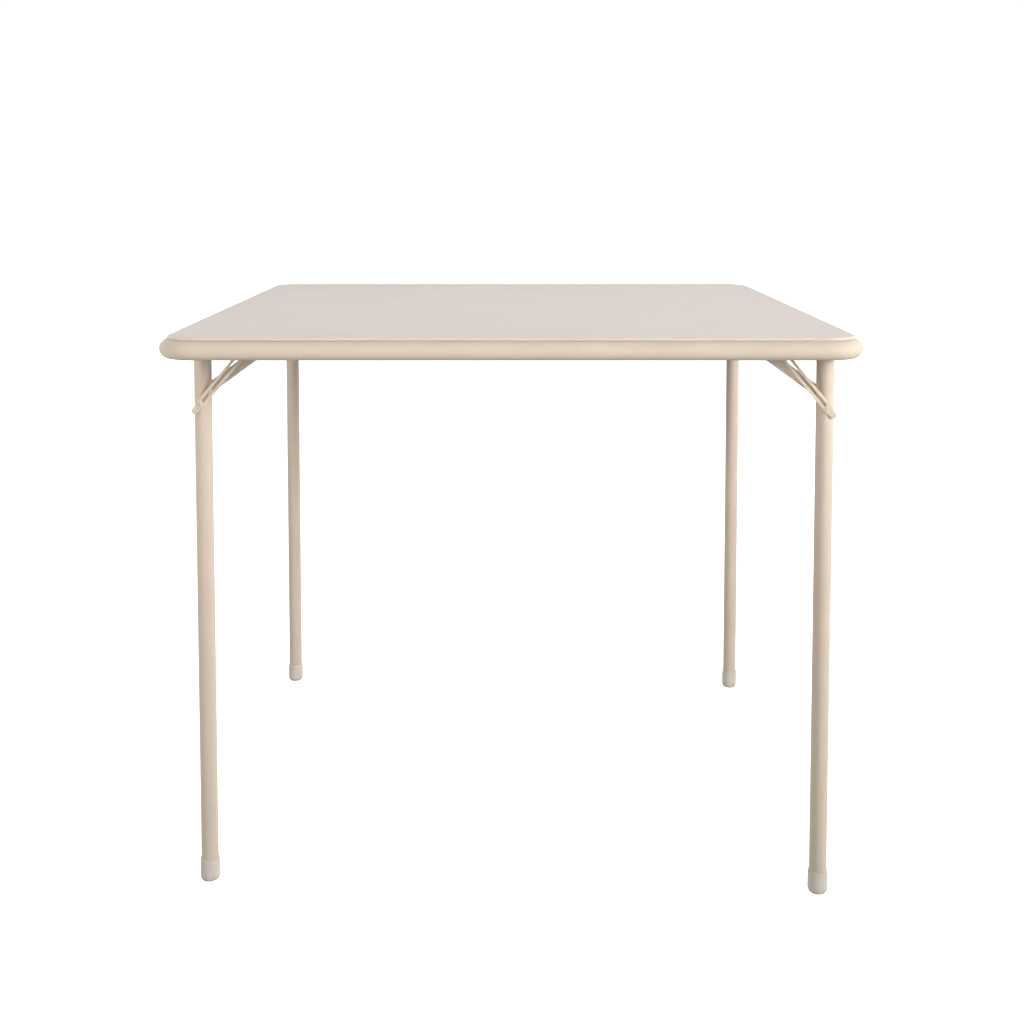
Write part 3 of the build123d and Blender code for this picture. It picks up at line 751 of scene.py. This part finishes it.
def make_hinge_welds(corner):
    """A bead round the rail at each ear of the leg's bracket."""
    _, y, inward, _ = CORNERS[corner]
    chance = random.Random(corner)
    start, sweep, reach = -46, 84, RAIL_RADIUS + 0.0002
    radius, pitch = 0.0010, 0.0015
    bm = bmesh.new()
    for side in (-1, 1):
        points = []
        for step in range(13):
            lean = radians(start + sweep * step / 12)
            points.append(Vector((
                -inward * (RAIL_X - reach * cos(lean)),
                y + side * HINGE_EAR,
                RAIL_AXIS + reach * sin(lean),
            )))
        weld_bead(bm, points, radius, pitch, chance)
    add_piece(f"hinge_welds_{corner}", bm, MATERIALS["weld"], "table_top", 60.0)


# The pieces, in order
MATERIALS = {
    "paint": paint_material("beige_paint"),
    # The slotted straps and finger plates get the same enamel painted 6% lighter, as painted light
    # to look better lit.
    "paint_painted_lighter": paint_material("beige_strap_paint", 1.06),
    "vinyl": vinyl_material(),
    "board": board_material(),
    "foot": foot_material(),
    "zinc": zinc_material(),
    "weld": weld_material(),
}
SCREW = screw_mesh()


def dress_node(node, material):
    """Gives a finish to a solid whose shape is kept."""
    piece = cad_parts[node]
    for slot in piece.material_slots:
        slot.link = "OBJECT"
        slot.material = MATERIALS[material]


def make_corner(corner):
    """A leg's straps, rivets, pins, welds, foot and bracket screws."""
    make_lock_brace(corner, strap_frame(corner, 1, LOCK_DROP, LOCK_SLOPE, LOCK_INNER))
    make_finger_tab(corner, strap_frame(corner, 1, LOCK_DROP, LOCK_SLOPE, PLATE_INNER))
    make_stay_link(corner, strap_frame(corner, -1, STAY_DROP, STAY_SLOPE, PLATE_INNER))
    make_strap_rivet(f"slotted_strap_rivet_{corner}", f"lock_brace_rivet_{corner}", corner, 1,
                     LOCK_DROP, LOCK_INNER)
    make_strap_rivet(f"plain_strap_rivet_{corner}", f"stay_link_rivet_{corner}", corner, -1,
                     STAY_DROP, PLATE_INNER)
    make_strap_pin(f"slotted_strap_pin_{corner}", f"lock_brace_pin_{corner}", corner, 1,
                   LOCK_PIN, LOCK_INNER, f"lock_brace_{corner}")
    make_strap_pin(f"plain_strap_pin_{corner}", f"stay_link_pin_{corner}", corner, -1,
                   STAY_PIN, PLATE_INNER, f"stay_link_{corner}")
    make_hinge_pin(corner)
    make_hinge_welds(corner)
    make_foot(corner)
    low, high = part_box(f"guide_bracket_{corner}")
    from_end, from_middle = 0.009, 0.008
    middle = CORNERS[corner][1]
    places = [(end, middle + side * from_middle)
              for end in (low[0] + from_end, high[0] - from_end) for side in (-1, 1)]
    make_screws(f"bracket_screws_{corner}", f"guide_screws_{corner}", places,
                BOARD_UNDERSIDE - GUIDE_WEB)
    for node in ("guide_bracket", "hinge_bracket", "leg_tube"):
        dress_node(f"{node}_{corner}", "paint")


make_vinyl()
make_screws("tab_screws", "panel_screws", panel_screw_places(), BOARD_UNDERSIDE - TAB_THICKNESS)
make_tabs()
make_tab_welds()
for corner_name in CORNERS:
    make_corner(corner_name)
for node_name in ("frame_rail", "frame_joint_sleeve"):
    dress_node(node_name, "paint")
dress_node("top_board", "board")


# Stage, light and camera


def make_stage():
    """The floor, just under the feet. It neither lights the table nor takes its shadow."""
    size, drop = 30.0, 0.0005
    bm = bmesh.new()
    bmesh.ops.create_grid(bm, x_segments=8, y_segments=8, size=size)
    mesh = bpy.data.meshes.new("sweep")
    bm.to_mesh(mesh)
    bm.free()
    mesh.materials.append(floor_material())
    sweep = bpy.data.objects.new("sweep", mesh)
    sweep.location = (0, 0, -drop)
    bpy.context.scene.collection.objects.link(sweep)
    sweep.visible_diffuse = False
    sweep.visible_glossy = False
    sweep.visible_shadow = False


def area_light(name, place, aim, size, power, spread):
    """A soft lamp that is seen neither by the camera nor in reflections."""
    light = bpy.data.lights.new(name, "AREA")
    light.shape = "RECTANGLE"
    light.size, light.size_y = size
    light.energy = power
    light.spread = radians(spread)
    lamp = bpy.data.objects.new(name, light)
    lamp.location = place
    lamp.rotation_euler = (Vector(aim) - Vector(place)).to_track_quat("-Z", "Y").to_euler()
    lamp.visible_camera = False
    lamp.visible_glossy = False
    bpy.context.scene.collection.objects.link(lamp)


def make_world():
    """White for the camera. For light, a dim room that is paler above, below and behind."""
    world = bpy.data.worlds.new("studio")
    bpy.context.scene.world = world
    world.use_nodes = True
    tree = world.node_tree
    nodes, link = tree.nodes, tree.links.new
    split = nodes.new("ShaderNodeSeparateXYZ")
    link(nodes.new("ShaderNodeTexCoord").outputs["Generated"], split.inputs[0])

    def fade(axis, start, end, strength):
        made = nodes.new("ShaderNodeMapRange")
        made.interpolation_type = "SMOOTHSTEP"
        link(split.outputs[axis], made.inputs["Value"])
        made.inputs["From Min"].default_value = start
        made.inputs["From Max"].default_value = end
        made.inputs["To Max"].default_value = strength
        return made.outputs["Result"]

    def join(operation, one, other):
        made = nodes.new("ShaderNodeMath")
        made.operation = operation
        link(one, made.inputs[0])
        link(other, made.inputs[1])
        return made.outputs[0]

    depth, height = 1, 2
    ceiling = fade(height, -0.1, 0.6, 0.11)
    front = fade(depth, 0.3, -0.8, 0.11)
    floor_glow = fade(height, 0.0, -0.35, 0.339)
    wall = join("MULTIPLY", fade(depth, 0.2, 0.95, 2.09), fade(height, -0.03, 0.06, 1.0))
    total = join("ADD", join("ADD", ceiling, front), join("ADD", floor_glow, wall))
    dim = nodes["Background"]
    dim.inputs["Color"].default_value = rgb(1, 1, 1)
    link(total, dim.inputs["Strength"])
    white = nodes.new("ShaderNodeBackground")
    white.inputs["Color"].default_value = rgb(1, 1, 1)
    white.inputs["Strength"].default_value = 1.05
    pick = nodes.new("ShaderNodeMixShader")
    link(nodes.new("ShaderNodeLightPath").outputs["Is Camera Ray"], pick.inputs[0])
    link(dim.outputs[0], pick.inputs[1])
    link(white.outputs[0], pick.inputs[2])
    link(pick.outputs[0], nodes["World Output"].inputs["Surface"])


def make_camera():
    """The photograph's camera, a little above the table's top. It looks slightly down, so
    that the framing takes less shift and the other views keep the table in the picture."""
    data = bpy.data.cameras.new("camera")
    data.lens = 47.77
    data.sensor_width = 36.0
    data.shift_x = 0.0008
    data.shift_y = -0.236
    data.clip_end = 100.0
    camera = bpy.data.objects.new("camera", data)
    camera.location = (0.0, -2.0467, 0.9070)
    camera.rotation_euler = (radians(86.160), 0, 0)
    bpy.context.scene.collection.objects.link(camera)
    bpy.context.scene.camera = camera


# Each lamp's name, place, aim, size, watts and spread in degrees
LIGHTS = [
    ("key", (4.0, -2.7, 2.3), (0.0, -0.1, 0.6), (2.4, 1.6), 44.7, 180),
    ("key_middle", (4.0, -2.7, 1.4), (0.0, -0.1, 0.6), (2.0, 1.2), 26.0, 180),
    ("key_low", (3.6, -2.4, 0.7), (0.0, -0.1, 0.5), (1.6, 1.0), 19.2, 180),
    ("key_near", (3.0, -2.1, 1.7), (0.0, -0.1, 1.2), (1.6, 1.2), 10.9, 60),
    ("right_side", (3.6, 0.4, 0.8), (0.0, 0.1, 0.5), (1.6, 1.2), 3.0, 180),
    ("right_back", (3.0, 2.0, 1.0), (0.0, 0.2, 0.5), (1.6, 1.2), 21.0, 180),
    ("front", (0.0, -3.0, 1.0), (0.0, 0.0, 1.05), (2.0, 0.6), 1.4, 50),
    ("front_high", (0.0, -2.6, 2.6), (0.0, 0.0, 0.7), (2.4, 1.2), 1.8, 180),
    ("left", (-2.8, -1.3, 1.2), (0.0, -0.1, 0.7), (1.0, 1.0), 7.0, 75),
]

make_stage()
make_world()
make_camera()
for lamp_row in LIGHTS:
    area_light(*lamp_row)
bpy.context.scene.view_settings.view_transform = "Standard"
